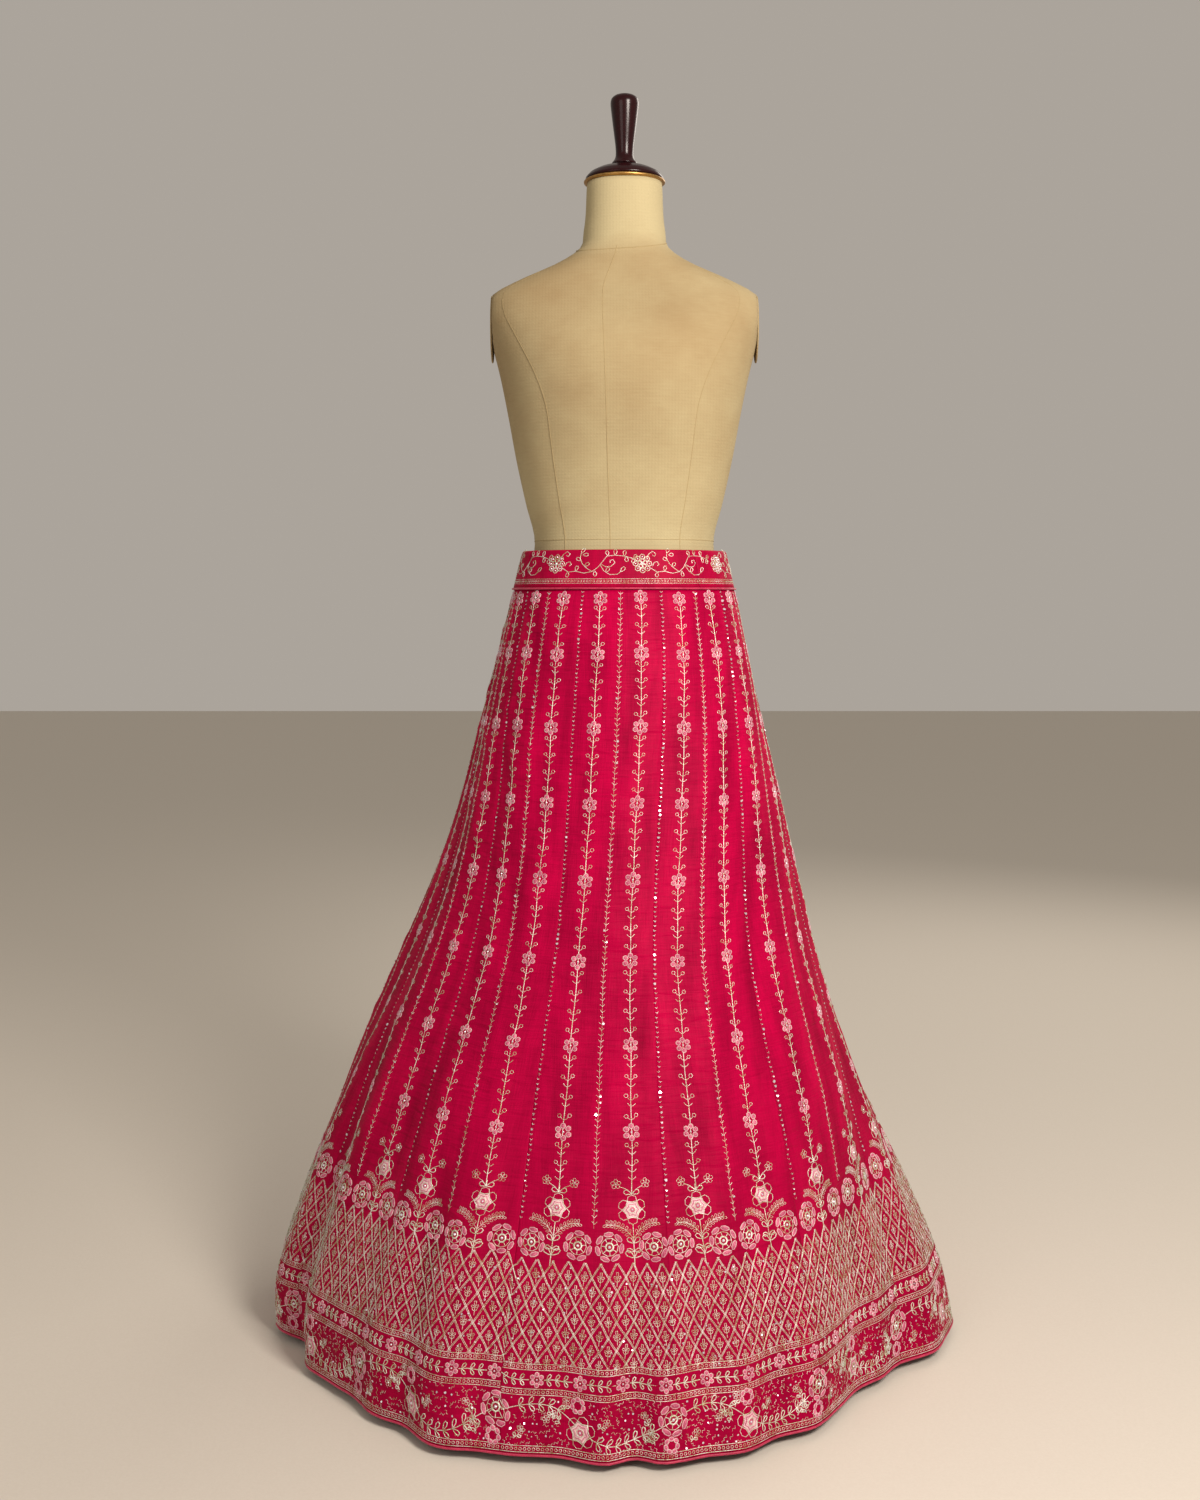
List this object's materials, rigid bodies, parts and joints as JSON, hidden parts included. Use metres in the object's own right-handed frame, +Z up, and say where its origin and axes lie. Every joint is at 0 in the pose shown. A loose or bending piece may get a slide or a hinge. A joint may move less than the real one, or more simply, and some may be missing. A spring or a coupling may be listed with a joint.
{
  "type": "lehenga skirt on dress form",
  "caption": "Floor-length flared lehenga skirt of joined gores with a stiff waistband and piped hem, hung on a limbless linen dress form with a turned knob and a round base.",
  "frame": {"origin": "on the floor, in the middle of the dress form's round base", "axes": "+Z up along the pole, the skirt's front faces -Y, +X to the right of somebody who looks at the front"},
  "size_m": [0.8707, 0.8969, 1.5629],
  "materials": {
    "silk": "crimson-pink art silk with a soft sheen, embroidered in cream-gold and pink",
    "band": "stiffened crimson silk, embroidered",
    "piping": "bright pink cord piping",
    "metallic_thread": "cream-gold metallic embroidery thread (zari)",
    "petal_thread": "pink embroidery thread of the flowers' petals",
    "sequins": "small pearly sequins and beads",
    "linen": "cream linen stretched over padding",
    "gilt": "polished, slightly worn",
    "lacquer": "turned wood under dark maroon gloss lacquer",
    "iron": "black satin enamel"
  },
  "bodies": {
    "root": {"gore_01": "silk", "gore_02": "silk", "gore_03": "silk", "gore_04": "silk", "gore_05": "silk", "gore_06": "silk", "gore_07": "silk", "gore_08": "silk", "gore_09": "silk", "gore_10": "silk", "gore_11": "silk", "gore_12": "silk", "gore_13": "silk", "gore_14": "silk", "waistband_left": "band", "waistband_front": "band", "waistband_right": "band", "waist_piping": "piping", "hem_piping": "piping", "form_torso": "linen", "armhole_plate_left": "linen", "armhole_plate_right": "linen", "neck_rim": "gilt", "neck_cap": "lacquer", "knob": "lacquer", "pole": "iron", "base": "iron"}
  },
  "joints": []
}
